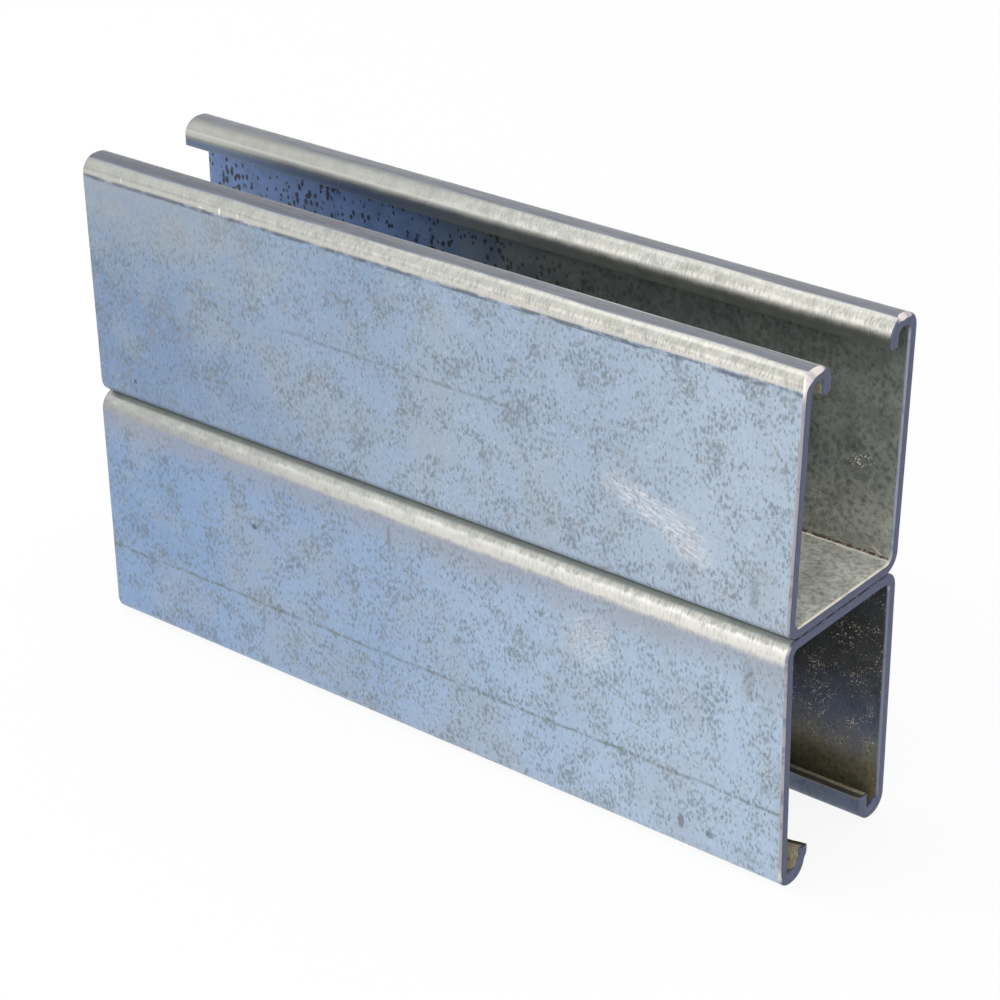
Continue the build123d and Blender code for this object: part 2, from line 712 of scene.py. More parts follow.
            feeds = {"Across": bent_across, "Height": height, "Start": given[start], "Radius": given["Bend Radius"]}
            for name, source in feeds.items():
                wiring.feed(step.inputs[name], source)
            bent_across, height = step.outputs["Across"], step.outputs["Height"]
        flare_start = wiring.minus(given["Half Length"], given["Flare Reach"])
        flare = wiring.ramp(wiring.math("ABSOLUTE", x), flare_start, given["Half Length"], smooth=False)
        flare = wiring.product(flare, flare, given["End Flare"])
        flare = wiring.product(flare, wiring.ramp(height, 0.0, given["Crown Bend"], smooth=False))
        bent_across = wiring.plus(bent_across, flare)
        height = wiring.plus(height, wiring.product(given["Strip Thickness"], 0.5))
        final_y = wiring.product(bent_across, side, given["Turn"])
        final_z = wiring.plus(given["Joint Height"], wiring.product(height, given["Turn"]))
        new_x = wiring.plus(new_x, self.out_of_square(x, final_y, height))
        girth = wiring.product(y, given["Turn"], TO_MM)
        strip = wiring.vector(wiring.product(x, TO_MM), girth, wiring.product(z, TO_MM))
        geometry = given["Blank"]
        for name, kind, source in (
            ("strip", "FLOAT_VECTOR", strip), ("cut", "FLOAT", cut), ("entry", "FLOAT", entry), ("heat", "FLOAT", heat),
        ):
            store = wiring.add("GeometryNodeStoreNamedAttribute", data_type=kind, domain="POINT")
            store.inputs["Name"].default_value = name
            wiring.feed(store.inputs["Geometry"], geometry)
            wiring.feed(store.inputs["Value"], source)
            geometry = store.outputs[0]
        move = wiring.add("GeometryNodeSetPosition")
        wiring.feed(move.inputs["Geometry"], geometry)
        wiring.feed(move.inputs["Position"], wiring.vector(new_x, final_y, final_z))
        realized = wiring.add("GeometryNodeRealizeInstances")
        wiring.feed(realized.inputs["Geometry"], move.outputs[0])
        dressed = wiring.add("GeometryNodeSetMaterial")
        wiring.feed(dressed.inputs["Geometry"], realized.outputs[0])
        wiring.feed(dressed.inputs["Material"], given["Skin"])
        cut_name = wiring.add("GeometryNodeInputNamedAttribute", data_type="FLOAT")
        cut_name.inputs["Name"].default_value = "cut"
        is_cut = wiring.add("FunctionNodeCompare", data_type="FLOAT", operation="GREATER_THAN")
        wiring.feed(is_cut.inputs[0], cut_name.outputs["Attribute"])
        is_cut.inputs[1].default_value = self.CUT_START
        ends = wiring.add("GeometryNodeSetMaterial")
        wiring.feed(ends.inputs["Geometry"], dressed.outputs[0])
        wiring.feed(ends.inputs["Selection"], is_cut.outputs[0])
        wiring.feed(ends.inputs["Material"], given["Cut End"])
        result = wiring.add("NodeGroupOutput")
        wiring.feed(result.inputs[0], ends.outputs[0])


def shaped(piece: bpy.types.Object, tree: bpy.types.NodeTree, values: dict[str, object]) -> None:
    """Runs a Geometry Nodes tree on a piece and keeps its result as the piece's plain mesh.

    Args:
        piece: the piece, with the tree's starting mesh.
        tree: the tree.
        values: the tree's inputs by name.
    """
    modifier = piece.modifiers.new(tree.name, "NODES")
    modifier.node_group = tree
    for item in tree.interface.items_tree:
        if item.item_type == "SOCKET" and item.in_out == "INPUT" and item.name in values:
            modifier[item.identifier] = values[item.name]
    bpy.context.view_layer.update()
    graph = bpy.context.evaluated_depsgraph_get()
    mesh = bpy.data.meshes.new_from_object(piece.evaluated_get(graph), preserve_all_data_layers=True, depsgraph=graph)
    piece.modifiers.remove(modifier)
    blank = piece.data
    piece.data = mesh
    bpy.data.meshes.remove(blank)
    mesh.name = piece.name


@dataclass
class Coat:
    """What a shader shows so far: colour, roughness, relief in millimetres, and share of bare metal."""

    colour: Feed
    roughness: Feed
    relief: Feed
    metal: Feed


class StripMap(Wiring):
    """A material's nodes, with the strip's own coordinates in millimetres.

    along runs from the far end to the near one, girth from the front lip's edge (negative) over the web
    to the back lip's, and layer from the outer skin (negative) to the inner one.
    """

    SKIN_SHIFT = 9.0  # how far apart the two skins read a pattern, for each millimetre between them

    def __init__(self, tree: bpy.types.NodeTree, seed: float) -> None:
        """Reads the attributes that the roll forming stored.

        Args:
            tree: the material's tree.
            seed: shifts every pattern, so that the channels differ.
        """
        super().__init__(tree)
        strip = self.add("ShaderNodeAttribute", attribute_name="strip")
        self.along, self.girth, self.layer = self.split(strip.outputs["Vector"])
        self.cut, self.entry, self.heat = (
            self.add("ShaderNodeAttribute", attribute_name=name).outputs["Fac"] for name in ("cut", "entry", "heat")
        )
        self.across = self.math("ABSOLUTE", self.girth)
        self.inside = self.ramp(self.layer, -0.4, 0.4)
        self.outside = self.minus(1.0, self.inside)
        self.front = self.math("LESS_THAN", self.girth, 0.0)
        self.back = self.math("GREATER_THAN", self.girth, 0.0)
        self.depth = self.plus(self.product(self.layer, self.SKIN_SHIFT), seed)

    def spot(self, stretch_along: float = 1.0, stretch_across: float = 1.0, shift: float = 0.0) -> Socket:
        """Gives a place to read a pattern at.

        Args:
            stretch_along: how many times longer the pattern is along the strip.
            stretch_across: how many times longer it is across the strip.
            shift: moves it to another part of the pattern.

        Returns:
            The pattern's vector.
        """
        along = self.product(self.along, 1 / stretch_along)
        girth = self.product(self.girth, 1 / stretch_across)
        return self.vector(along, girth, self.plus(self.depth, shift))


class Finish(ABC):
    """One layer of a metal's finish."""

    @abstractmethod
    def over(self, strip: StripMap, coat: Coat) -> Coat:
        """Lays this finish over the coat, with the material's nodes, and gives the coat with it on."""


@dataclass(frozen=True)
class ZincWall(Finish):
    """Dulled zinc of the flat faces: blue-grey with a painted reflection that pales to the right, with olive specks in
    drifts.
    """

    # Soft bounds in millimetres, along the strip (RUN) or across it from its middle.
    REFLECTION_RUN = (-104.0, 104.0)
    FLECK_RUN = (-60.0, 40.0)
    CROWN_HAZE_RUN = (-20.0, -95.0)
    WEB_HAZE = (30.0, 22.0)
    CROWN_HAZE = (56.0, 72.0)

    # Painted reflection: the walls' blue-grey at the far end and at the near end.
    far_reflection_colour: Colour = painted(124, 149, 183)
    near_reflection_colour: Colour = painted(178, 195, 214)
    haze_colour: Colour = painted(164, 173, 181)
    speck_colour: Colour = painted(115, 124, 125)
    fleck_colour: Colour = painted(205, 212, 218)
    warm_colour: Colour = painted(150, 148, 146)
    web_haze_colour: Colour = painted(160, 162, 172)
    speck_share: float = 0.8
    speck_height: float = 0.006
    haze_share: float = 0.7
    web_haze_share: float = 0.0
    mottle_height: float = 0.012

    def over(self, strip: StripMap, coat: Coat) -> Coat:
        """Lays this finish over the coat.

        Args:
            strip: the material's nodes.
            coat: what is there so far.

        Returns:
            The coat with this finish on it.
        """
        cloud = strip.noise(strip.spot(), 0.016, 2.0)
        # Painted reflection: the walls darken towards the far end and pale towards the near one.
        run = strip.ramp(strip.along, *self.REFLECTION_RUN, smooth=False)
        run = strip.plus(run, strip.swing(cloud, 0.9))
        colour = strip.blend(run, self.far_reflection_colour, self.near_reflection_colour)
        haze = strip.ramp(strip.noise(strip.spot(shift=31.0), 0.05, 3.0, 0.6), 0.46, 0.66)
        colour = strip.blend(strip.product(haze, 0.4), colour, self.haze_colour)
        drift = strip.minus(strip.noise(strip.spot(shift=57.0), 0.13, 4.0, 0.62), 0.5)
        fibre = strip.noise(strip.spot(0.45, 2.4, 14.0), 1.1, 3.0, 0.7)
        colour = strip.blend(strip.ramp(fibre, 0.4, 0.75, 0.0, 0.3), colour, self.haze_colour)
        colour = strip.blend(strip.ramp(fibre, 0.5, 0.25, 0.0, 0.3), colour, self.fleck_colour)
        grain = strip.noise(strip.spot(0.85, 1.3), 1.05, 3.0, 0.66)
        soft = strip.ramp(strip.plus(grain, strip.product(drift, 0.6)), 0.49, 0.7)
        size = strip.plus(0.49, strip.product(drift, 1.15))
        size = strip.plus(size, strip.swing(grain, 0.9))
        speck = strip.product(strip.dots(strip.spot(0.75, 1.3, 6.0), 0.8, size, 0.36), 0.8)
        speck = strip.larger(speck, strip.product(soft, 0.72))
        warmth = strip.ramp(strip.noise(strip.spot(shift=25.0), 0.3, 2.0), 0.5, 0.62)
        speck_tone = strip.blend(strip.product(warmth, 0.7), self.speck_colour, self.warm_colour)
        colour = strip.blend(strip.product(speck, self.speck_share), colour, speck_tone)
        fleck = strip.ramp(strip.noise(strip.spot(0.9, 1.1, 83.0), 1.1, 2.0), 0.6, 0.74)
        fleck = strip.product(fleck, strip.ramp(strip.along, *self.FLECK_RUN, 0.2, 0.5))
        colour = strip.blend(fleck, colour, self.fleck_colour)
        height = strip.plus(strip.across, strip.product(drift, 16.0))
        by_web = strip.ramp(height, *self.WEB_HAZE, 0.0, self.web_haze_share)
        colour = strip.blend(by_web, colour, self.web_haze_colour)
        height = strip.plus(strip.across, strip.product(drift, 40.0))
        under_crown = strip.ramp(height, *self.CROWN_HAZE)
        under_crown = strip.product(under_crown, strip.ramp(strip.along, *self.CROWN_HAZE_RUN))
        colour = strip.blend(strip.product(under_crown, self.haze_share), colour, self.haze_colour)
        mottle = strip.noise(strip.spot(shift=9.0), 0.35, 3.0, 0.6)
        rough = strip.ramp(mottle, 0.3, 0.7, 0.34, 0.46, smooth=False)
        rough = strip.plus(rough, strip.product(speck, 0.1))
        relief = strip.minus(strip.product(mottle, self.mottle_height), strip.product(speck, self.speck_height))
        return Coat(colour, rough, relief, coat.metal)


@dataclass(frozen=True)
class BendStreaksAndPaintedLight(Finish):
    """Painted highlight on the outside of the bends that face the light, over zinc that the rolls stretched.

    The bend's flank is painted pale as a highlight and combed across with fine streaks, its top is painted greyer as a
    dim reflection, with lengthwise lines; painted shade darkens the seam between the webs.
    """

    # Soft bounds across the strip, in millimetres from its middle.
    WEB_START = (16.4, 18.2)
    WEB_END = (20.8, 22.9)
    WEB_DUSK = (19.6, 18.8)
    WEB_CALM = (17.6, 20.4)
    SEAM_SHADE = (19.2, 16.9)
    SEAM_CREVICE_SHADE = (17.6, 16.9)
    CROWNS = (70.0, 74.0)
    CROWN_START = (74.3, 74.7)
    CROWN_EDGE_GLOW = (75.7, 75.1)
    LIP_START = (80.0, 81.0)
    LIP_END = (86.4, 84.2)
    LIP_SHADE = (83.9, 85.4)
    # Soft bands across it, each rising then falling: DUSK bands of painted shade, GLOW bands of painted highlight.
    CROWN_DUSK = ((75.7, 76.3), (77.7, 77.1))
    LIP_DUSK = ((81.4, 82.0), (83.2, 82.6))
    WEB_GLOW = ((19.1, 19.8), (22.3, 20.9))
    CROWN_GLOW = ((76.8, 77.4), (79.4, 79.0))
    LIP_GLOW = ((80.0, 80.4), (82.2, 80.9))
    # Bands across it, each with the width of its soft edges.
    LIP_EDGE_GLOW = (83.3, 84.4, 0.4)
    LINE_BAND = (73.8, 74.65, 0.4)
    # Where the flank ends and the crown's grey top, a painted dim reflection, starts, and where that ends and the lip's
    # flank starts.
    TOP_START = (77.4, 77.9)
    TOP_END = (80.7, 81.2)

    crown_share: float
    web_share: float
    # Painted highlight on the bends, and the tone of their comb streaks.
    highlight_colour: Colour = painted(206, 202, 191)
    streak_colour: Colour = painted(150, 149, 141)
    # Painted shade towards the far end, on the bends and on the far lip.
    far_dim: Colour = painted(140, 142, 139)
    lip_dim: Colour = painted(138, 138, 132)
    lip_shade_colour: Colour = painted(126, 128, 118)
    dusk_colour: Colour = painted(126, 127, 119)
    glow_colour: Colour = painted(240, 238, 231)
    # Painted dim reflection on the crown's top, darker still at the far front.
    top_colour: Colour = painted(121, 124, 133)
    top_line_colour: Colour = painted(144, 145, 151)
    top_far_colour: Colour = painted(84, 90, 100)
    # Painted shade in the groove between the webs' bends, darkest at the seam.
    shade_colour: Colour = painted(150, 155, 144)
    seam_shade_colour: Colour = painted(40, 43, 42)
    # Painted reflection on the lips' faces: blue at the far end, olive grey at the near one.
    face_far_colour: Colour = painted(98, 114, 140)
    face_near_colour: Colour = painted(136, 137, 127)
    raw_colour: Colour = painted(140, 140, 128)
    face_start: float = 85.0
    raw_start: float = 86.3
    comb_low: float = 0.43
    comb_high: float = 0.6
    line_colour: Colour = painted(98, 104, 114)
    dusk_share: float = 0.65
    glow_share: float = 0.38
    highlight_share: float = 0.94
    dark_share: float = 0.9
    line_share: float = 0.8
    comb_height: float = 0.012
    line_depth: float = 0.03

    def dusk(self, strip: StripMap, edge: Socket) -> Socket:
        """Tells where painted shade makes the rolled flanks greyer: towards the webs' seam, and half way round the
        crowns.

        Args:
            strip: the material's nodes.
            edge: wavering distance across the strip from its middle.

        Returns:
            1 in the painted shade bands.
        """
        web = strip.product(strip.ramp(edge, *self.WEB_DUSK), self.web_share)
        crown = strip.between(strip.across, *self.CROWN_DUSK)
        lip = strip.product(strip.between(strip.across, *self.LIP_DUSK), 0.8)
        return strip.larger(web, strip.larger(crown, lip))

    def glow(self, strip: StripMap, edge: Socket) -> Socket:
        """Tells where the painted highlight makes the rolled flanks brightest: along both of their borders.

        Args:
            strip: the material's nodes.
            edge: wavering distance across the strip from its middle.

        Returns:
            1 in the painted bright bands.
        """
        web = strip.product(strip.between(edge, *self.WEB_GLOW), self.web_share)
        web = strip.product(web, strip.ramp(strip.along, -90.0, 20.0, 0.35, 1.3))
        right = strip.ramp(strip.along, -30.0, 90.0, 0.0, 1.9)
        crown = strip.product(strip.between(strip.across, *self.CROWN_GLOW), right, 0.6)
        crown = strip.larger(crown, strip.ramp(strip.across, *self.CROWN_EDGE_GLOW))
        lip = strip.product(strip.between(strip.across, *self.LIP_GLOW), right)
        lip = strip.larger(lip, strip.band(strip.across, *self.LIP_EDGE_GLOW))
        on_crowns = strip.product(strip.larger(crown, lip), strip.ramp(strip.across, *self.CROWNS))
        return strip.larger(web, on_crowns)

    def over(self, strip: StripMap, coat: Coat) -> Coat:
        """Lays this finish over the coat.

        Args:
            strip: the material's nodes.
            coat: what is there so far.

        Returns:
            The coat with this finish on it.
        """
        waver = strip.noise(strip.spot(shift=12.0), 0.22, 2.0)
        edge = strip.plus(strip.across, strip.minus(strip.product(waver, 1.0), 0.5))
        comb = strip.noise(strip.spot(0.5, 1.5, 3.0), 1.0, 4.0, 0.72)
        patch = strip.noise(strip.spot(1.4, 1.0, 18.0), 0.5, 3.0, 0.6)
        comb = strip.plus(strip.product(comb, 0.66), strip.product(patch, 0.34))
        calm = strip.ramp(edge, *self.WEB_CALM, -0.05, 0.035)
        calm = strip.product(calm, self.web_share)
        streak = strip.ramp(strip.minus(comb, calm), self.comb_low, self.comb_high)
        streaks = strip.blend(streak, self.highlight_colour, self.streak_colour)
        # Painted shade: the bends and the far lip darken towards the far end.
        fade = strip.ramp(strip.along, 85.0, -95.0, 0.0, 0.8, smooth=False)
        streaks = strip.blend(fade, streaks, self.far_dim)
        on_lip = strip.ramp(strip.across, *self.LIP_START)
        far_lip = strip.product(on_lip, strip.ramp(strip.along, 40.0, -90.0, 0.0, 0.85))
        streaks = strip.blend(far_lip, streaks, self.lip_dim)
        # Painted shade bands across the flanks.
        streaks = strip.blend(strip.product(self.dusk(strip, edge), self.dusk_share), streaks, self.dusk_colour)
        # Painted highlight along the flanks' borders.
        streaks = strip.blend(strip.product(self.glow(strip, edge), self.glow_share), streaks, self.glow_colour)
        streaks = strip.blend(strip.ramp(strip.across, *self.LIP_SHADE), streaks, self.lip_shade_colour)
        border = strip.swing(strip.noise(strip.spot(1.0, 20.0, 2.0), 0.03, 1.0), 1.1)
        crown_edge = strip.plus(strip.across, border)
        crown_rim = strip.minus(crown_edge, strip.ramp(strip.along, -60.0, 40.0, -0.3, 0.4))
        low_rim = strip.minus(strip.across, strip.ramp(strip.along, 30.0, 90.0, 0.0, 0.4))
        crown = strip.product(strip.ramp(low_rim, *self.CROWN_START), strip.ramp(crown_rim, *self.TOP_START, 1.0, 0.0))
        lip = strip.product(strip.ramp(crown_edge, *self.TOP_END), strip.ramp(strip.across, *self.LIP_END))
        crowns = strip.product(strip.larger(crown, lip), self.crown_share)
        low_edge = strip.plus(edge, strip.ramp(strip.along, -20.0, -95.0, 0.0, 0.8))
        web = strip.product(strip.ramp(edge, *self.WEB_START), strip.ramp(low_edge, *self.WEB_END, 1.0, 0.0))
        web = strip.product(web, self.web_share)
        # Painted highlight on the bends that face up: the crowns of the upper channel and the web bends of the lower
        # one.
        bright = strip.product(strip.larger(crowns, web), strip.outside)
        # Painted dim reflection on the crown's top, with lengthwise lines.
        lines = strip.ramp(strip.noise(strip.spot(16.0, 0.22, 9.0), 1.0, 3.0, 0.65), 0.46, 0.62)
        top_tone = strip.blend(lines, self.top_colour, self.top_line_colour)
        far_front = strip.product(strip.front, strip.ramp(strip.along, 50.0, -60.0, 0.0, 0.5))
        top_tone = strip.blend(far_front, top_tone, self.top_far_colour)
        top = strip.product(strip.ramp(crown_rim, *self.TOP_START), strip.ramp(crown_edge, *self.TOP_END, 1.0, 0.0))
        top = strip.product(top, strip.outside, self.crown_share)
        # Painted shade in the groove where the two webs' bends meet, darkest at the seam.
        shade = strip.product(strip.ramp(edge, *self.SEAM_SHADE), strip.outside, self.web_share)
        slit = strip.ramp(strip.across, self.raw_start + 0.35, self.raw_start + 0.5)
        reach = strip.ramp(strip.across, self.face_start - 0.5, self.face_start + 0.5)
        face = strip.larger(strip.product(reach, strip.outside), slit)
        # Painted reflection on the lip's face, with the real raw slit edge over it.
        face_tone = strip.blend(strip.ramp(strip.along, -50.0, 0.0), self.face_far_colour, self.face_near_colour)
        raw = strip.ramp(strip.across, self.raw_start, self.raw_start + 0.3)
        raw = strip.product(raw, strip.ramp(strip.along, -60.0, 10.0, 0.2, 1.0))
        face_tone = strip.blend(strip.product(raw, strip.ramp(comb, 0.66, 0.5)), face_tone, self.raw_colour)
        colour = strip.blend(strip.product(bright, self.highlight_share), coat.colour, streaks)
        colour = strip.blend(top, colour, top_tone)
        colour = strip.blend(strip.product(shade, self.dark_share), colour, self.shade_colour)
        seam = strip.product(strip.ramp(strip.across, *self.SEAM_CREVICE_SHADE), strip.outside, self.web_share)
        colour = strip.blend(strip.product(seam, self.dark_share), colour, self.seam_shade_colour)
        colour = strip.blend(strip.product(face, self.dark_share), colour, face_tone)
        broken = strip.ramp(strip.noise(strip.spot(3.5, 1.0, 44.0), 0.35, 3.0, 0.7), 0.4, 0.55)
        line = strip.product(strip.band(strip.across, *self.LINE_BAND), strip.outside, broken, self.crown_share)
        colour = strip.blend(strip.product(line, self.line_share), colour, self.line_colour)
        rolled = strip.larger(bright, top)
        rough = strip.minus(coat.roughness, strip.product(rolled, 0.04))
        relief = strip.plus(coat.relief, strip.product(rolled, comb, self.comb_height))
        relief = strip.minus(relief, strip.product(line, self.line_depth))
        metal = strip.minus(coat.metal, strip.product(shade, 0.7))
        return Coat(colour, rough, relief, metal)


@dataclass(frozen=True)
class DrawLine(Finish):
    """Long thin line that a roll drew along the wall, broken into dashes."""

    girth: float
    start: float
    end: float
    share: float
    half_width: float = 0.32
    colour: Colour = painted(114, 122, 116)

    def over(self, strip: StripMap, coat: Coat) -> Coat:
        """Lays this finish over the coat.

        Args:
            strip: the material's nodes.
            coat: what is there so far.

        Returns:
            The coat with this finish on it.
        """
        waver = strip.noise(strip.spot(2.0, 40.0, 5.0), 0.16, 3.0, 0.6)
        place = strip.plus(strip.girth, strip.minus(strip.product(waver, 1.6), 0.8))
        line = strip.band(place, self.girth - self.half_width, self.girth + self.half_width, 0.9)
        dashes = strip.ramp(strip.noise(strip.spot(1.2, 2.0, 71.0), 0.7, 3.0, 0.7), 0.34, 0.62, 0.15, 1.0)
        reach = strip.band(strip.along, self.start, self.end, 12.0)
        line = strip.product(line, dashes, reach, strip.outside, self.share)
        colour = strip.blend(line, coat.colour, self.colour)
        relief = strip.minus(coat.relief, strip.product(line, 0.02))
        return Coat(colour, coat.roughness, relief, coat.metal)


@dataclass(frozen=True)
class Mark(Finish):
    """One mark on the zinc, left by handling or by weather, or painted glints."""

    # Each kind's colour, relief in millimetres, and the shares of its reach where its edge starts and ends.
    LOOKS = {
        MarkKind.SCRATCHES: (painted(236, 234, 236), -0.02, 0.35, 1.05),
        MarkKind.STAIN: (painted(92, 96, 100), 0.004, 0.45, 1.0),
        MarkKind.DOT: (painted(92, 96, 100), 0.004, 0.45, 1.0),
        MarkKind.NICK: (painted(250, 249, 246), -0.03, 0.4, 1.0),
        MarkKind.GLINTS: (painted(250, 238, 228), 0.01, 0.3, 1.0),
        MarkKind.SALTS: (painted(236, 226, 206), 0.02, 0.5, 1.0),
    }

    kind: MarkKind
    along: float
    girth: float
    length: float
    width: float
    tilt: float = 0.0
    share: float = 0.8

    def over(self, strip: StripMap, coat: Coat) -> Coat:
        """Lays this mark over the coat.

        Args:
            strip: the material's nodes.
            coat: what is there so far.

        Returns:
            The coat with this mark on it.
        """
        tilt = math.radians(self.tilt)
        dx = strip.minus(strip.along, self.along)
        dy = strip.minus(strip.girth, self.girth)
        lengthwise = strip.plus(strip.product(dx, math.cos(tilt)), strip.product(dy, math.sin(tilt)))
        crosswise = strip.minus(strip.product(dy, math.cos(tilt)), strip.product(dx, math.sin(tilt)))
        u = strip.math("DIVIDE", lengthwise, self.length / 2)
        v = strip.math("DIVIDE", crosswise, self.width / 2)
        radius = strip.math("SQRT", strip.plus(strip.product(u, u), strip.product(v, v)))
        if self.kind in (MarkKind.STAIN, MarkKind.DOT):
            ragged = strip.noise(strip.spot(shift=17.0), 0.7, 3.0, 0.65)
            radius = strip.plus(radius, strip.swing(ragged, 1.6))
        tone, lift, core, rim = self.LOOKS[self.kind]
        mask = strip.ramp(radius, core, rim, 1.0, 0.0)
        if self.kind is MarkKind.SCRATCHES:
            lines = strip.vector(strip.product(lengthwise, 0.34), strip.product(crosswise, 1.5), strip.depth)
            lines = strip.ramp(strip.noise(lines, 1.0, 4.0, 0.75), 0.48, 0.6)
            mask = strip.product(mask, strip.ramp(lines, 0.0, 1.0, 0.2, 1.0, smooth=False))
        elif self.kind is MarkKind.GLINTS:
            mask = strip.product(mask, strip.dots(strip.spot(shift=73.0), 1.7, 0.42, 0.2))
        skin = strip.inside if self.kind in (MarkKind.GLINTS, MarkKind.SALTS) else strip.outside
        mask = strip.product(mask, skin, self.share)
        colour = strip.blend(mask, coat.colour, tone)
        relief = strip.plus(coat.relief, strip.product(mask, lift))
        return Coat(colour, coat.roughness, relief, coat.metal)


@dataclass(frozen=True)
class InsideTarnishAndPaintedLight(Finish):
    """Zinc inside the channel, with painted reflection and shade: painted blue reflection with black specks far back,
    painted dark olive reflection and painted glints near the cut.
    """

    # Soft bounds in millimetres, along the strip (RUN) or across it from its middle.
    FLOOR = (19.5, 17.5)
    FLOOR_SPECKS = (17.0, 22.0)
    UNDER_LIP = (54.0, 70.0)
    UNDER_LIP_RUN = (-30.0, 30.0)
    POCKET = (78.0, 80.5)
    POCKET_RUN = (20.0, 80.0)
    SPECK_RUN = (-20.0, 40.0)
    FINE_RUN = (-20.0, 30.0)
    HIGH_GLINTS = (70.0, 58.0)

    # Painted reflection and shade colours of the inside, from far back to near the cut, and by height.
    blue_colour: Colour
    shade_colour: Colour
    olive_colour: Colour
    floor_colour: Colour
    low_wall_colour: Colour
    lip_colour: Colour
    pocket_colour: Colour
    glint_share: float
    glint_size: float = 0.24
    glint_start: float = 10.0
    glint_run: float = 60.0
    low_start: float = 44.0
    low_end: float = 24.0
    metal_share: float = 0.25
    blue_start: float = -52.0
    blue_end: float = 12.0
    olive_end: float = 92.0
    deep_colour: Colour = painted(40, 42, 42)
    fine_colour: Colour = painted(74, 78, 76)
    speck_colour: Colour = painted(34, 38, 40)
    glint_colour: Colour = painted(240, 225, 200)

    def over(self, strip: StripMap, coat: Coat) -> Coat:
        """Lays this finish over the coat.

        Args:
            strip: the material's nodes.
            coat: what is there so far.

        Returns:
            The coat with this finish on it.
        """
        mottle = strip.noise(strip.spot(shift=21.0), 0.16, 4.0, 0.62)
        wander = strip.swing(mottle, 40.0)
        along = strip.plus(strip.along, wander)
        # Painted reflection: blue far back, through a darker shade, to dark olive near the cut.
        colour = strip.blend(strip.ramp(along, self.blue_start, self.blue_end), self.blue_colour, self.shade_colour)
        colour = strip.blend(strip.ramp(along, self.blue_end, self.olive_end), colour, self.olive_colour)
        height = strip.plus(strip.across, strip.product(wander, 0.3))
        under_lip = strip.product(strip.ramp(height, *self.UNDER_LIP), strip.ramp(along, *self.UNDER_LIP_RUN))
        colour = strip.blend(under_lip, colour, self.lip_colour)
        # Painted light and shade by height: paler low on the upper channel's inner walls, near-black up under the lower
        # channel's web.
        colour = strip.blend(strip.ramp(height, self.low_start, self.low_end, 0.0, 0.9), colour, self.low_wall_colour)
        # Painted light: the inner floor and the pockets under the lips are paler, against the shade inside the channel.
        colour = strip.blend(strip.ramp(strip.across, *self.FLOOR), colour, self.floor_colour)
        pocket = strip.product(strip.ramp(strip.across, *self.POCKET), strip.ramp(strip.along, *self.POCKET_RUN))
        colour = strip.blend(pocket, colour, self.pocket_colour)
        shade = strip.ramp(mottle, 0.36, 0.62, 0.72, 1.0)
        dark = strip.blend(strip.minus(1.0, shade), colour, self.deep_colour)
        ragged = strip.minus(strip.noise(strip.spot(0.75, 1.2, 63.0), 1.1, 3.0, 0.6), 0.5)
        drift = strip.minus(strip.noise(strip.spot(shift=50.0), 0.08, 2.0), 0.5)
        size = strip.plus(0.37, strip.product(drift, 1.0))
        size = strip.plus(size, strip.product(ragged, 0.8))
        speck = strip.dots(strip.spot(0.85, 1.2, 63.0), 0.58, size, 0.14)
        sparse = strip.ramp(strip.along, *self.SPECK_RUN, 0.92, 0.3)
        fine = strip.ramp(strip.noise(strip.spot(shift=94.0), 0.7, 4.0, 0.7), 0.44, 0.66, 0.0, 0.5)
        dark = strip.blend(strip.product(fine, strip.ramp(strip.along, *self.FINE_RUN)), dark, self.fine_colour)
        speck = strip.product(speck, strip.ramp(strip.across, *self.FLOOR_SPECKS, 0.35, 1.0))
        dark = strip.blend(strip.product(speck, sparse), dark, self.speck_colour)
        # Painted glints: bright dots that stand for light sparkling off the zinc crystals, crowded near the cut.
        crowd = strip.ramp(strip.noise(strip.spot(shift=41.0), 0.16, 2.0), 0.4, 0.62, 0.55, 1.15)
        glint_dots = strip.dots(strip.spot(shift=90.0), 1.9, strip.product(crowd, self.glint_size), 0.16)
        glow = strip.ramp(strip.noise(strip.spot(shift=17.0), 1.3, 3.0, 0.65), 0.42, 0.68, 0.16, 1.0)
        glint_dots = strip.product(glint_dots, glow)
        near = strip.ramp(strip.along, self.glint_start, self.glint_start + self.glint_run)
        glint_dots = strip.product(glint_dots, near, strip.ramp(strip.across, *self.HIGH_GLINTS, 0.25, 1.0), self.glint_share)
        dark = strip.blend(glint_dots, dark, self.glint_colour)
        colour = strip.blend(strip.inside, coat.colour, dark)
        rough = strip.ramp(mottle, 0.3, 0.7, 0.3, 0.5, smooth=False)
        change = strip.minus(rough, coat.roughness)
        rough = strip.plus(coat.roughness, strip.product(strip.inside, change))
        relief = strip.plus(coat.relief, strip.product(strip.inside, mottle, 0.03))
        metal = strip.ramp(strip.inside, 0.0, 1.0, coat.metal, self.metal_share)
        return Coat(colour, rough, relief, metal)


